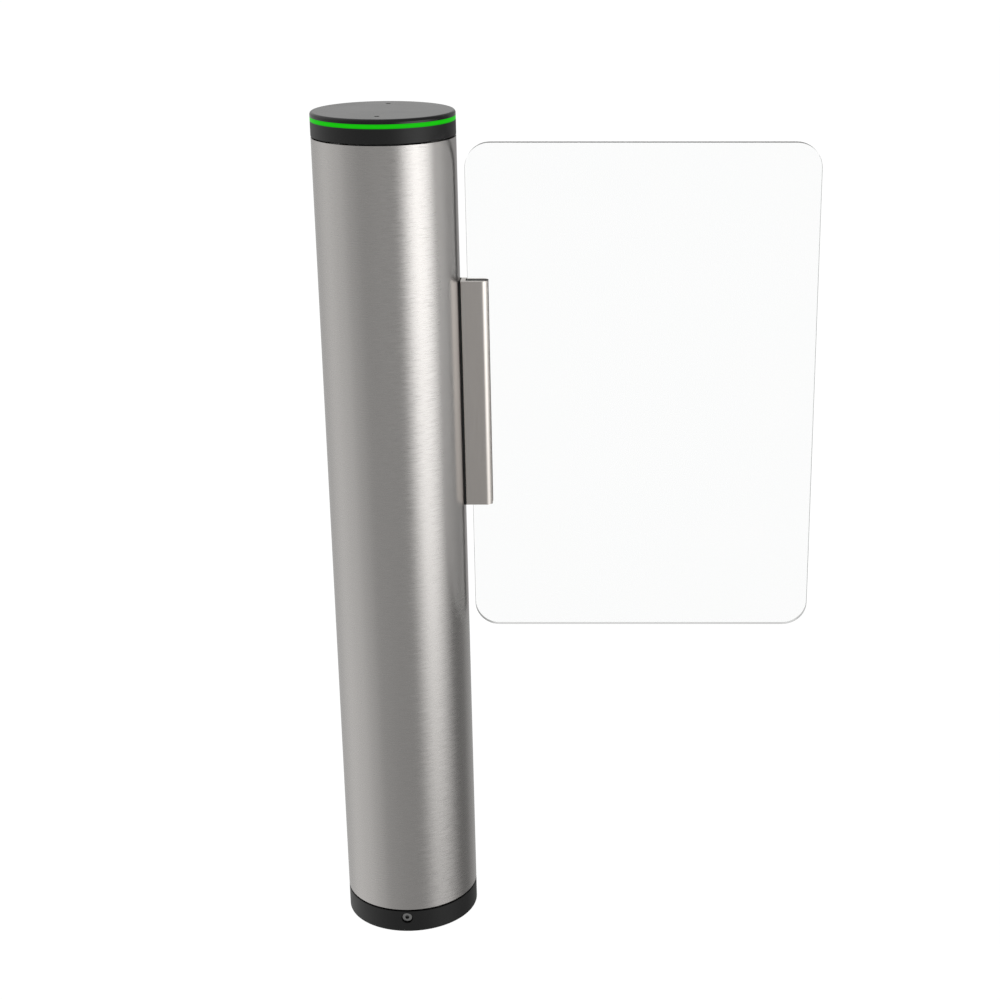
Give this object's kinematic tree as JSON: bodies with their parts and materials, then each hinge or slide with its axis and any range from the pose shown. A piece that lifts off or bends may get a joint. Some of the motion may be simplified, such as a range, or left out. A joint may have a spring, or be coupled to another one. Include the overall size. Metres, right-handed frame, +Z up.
{
  "type": "pedestrian swing gate",
  "caption": "Round brushed-steel gate post with a black base, a lit ring and lid, and a clear leaf clamped to a drum that swings about the post's axis.",
  "frame": {"origin": "centre of the flange's underside, on the floor and on the post's axis", "axes": "+Z up along the post, +X from the post towards the free edge of the closed leaf, +Y to the side where the clamp's cover screws are"},
  "size_m": [0.5952, 0.1684, 1.04],
  "materials": {
    "brushed_steel": "fine brushing around the tube",
    "clamp_steel": "fine satin",
    "black_coat": "satin black coat",
    "black_plastic": "satin black",
    "gloss_black": "gloss black",
    "green_light": "lit diffuser",
    "screw_steel": "bright",
    "black_screw": "blackened",
    "zinc_steel": "zinc plated",
    "bearing_steel": "ground",
    "hub_aluminium": "turned",
    "black_rubber": "matt",
    "clear_panel": "polished, flat edges with a fine chamfer"
  },
  "bodies": {
    "post": {"floor_flange": "zinc_steel", "base_ring": "black_coat", "base_screw_front": "screw_steel", "base_screw_back": "screw_steel", "column": "zinc_steel", "lower_seat_ring": "zinc_steel", "upper_seat_ring": "zinc_steel", "cap_seat_ring": "zinc_steel", "lower_bearing": "bearing_steel", "upper_bearing": "bearing_steel", "collar": "black_plastic", "light_ring": "green_light", "lid": "gloss_black", "lid_screw_front": "black_screw", "lid_screw_back": "black_screw"},
    "leaf": {"drum_tube": "brushed_steel", "drum_lower_hub": "hub_aluminium", "drum_upper_hub": "hub_aluminium", "clamp_seat": "black_rubber", "clamp_body": "clamp_steel", "clamp_cover": "clamp_steel", "clamp_backing": "zinc_steel", "clamp_bolt_lower": "screw_steel", "clamp_bolt_middle": "screw_steel", "clamp_bolt_upper": "screw_steel", "cover_screw_lower": "screw_steel", "cover_screw_middle": "screw_steel", "cover_screw_upper": "screw_steel", "glass_liner": "black_rubber", "panel": "clear_panel"}
  },
  "joints": [
    {"name": "leaf_swing", "type": "hinge", "parent": "post", "child": "leaf", "pos_m": [0, 0, 0], "axis": [0, 0, 1], "range_deg": [-90, 90]}
  ]
}
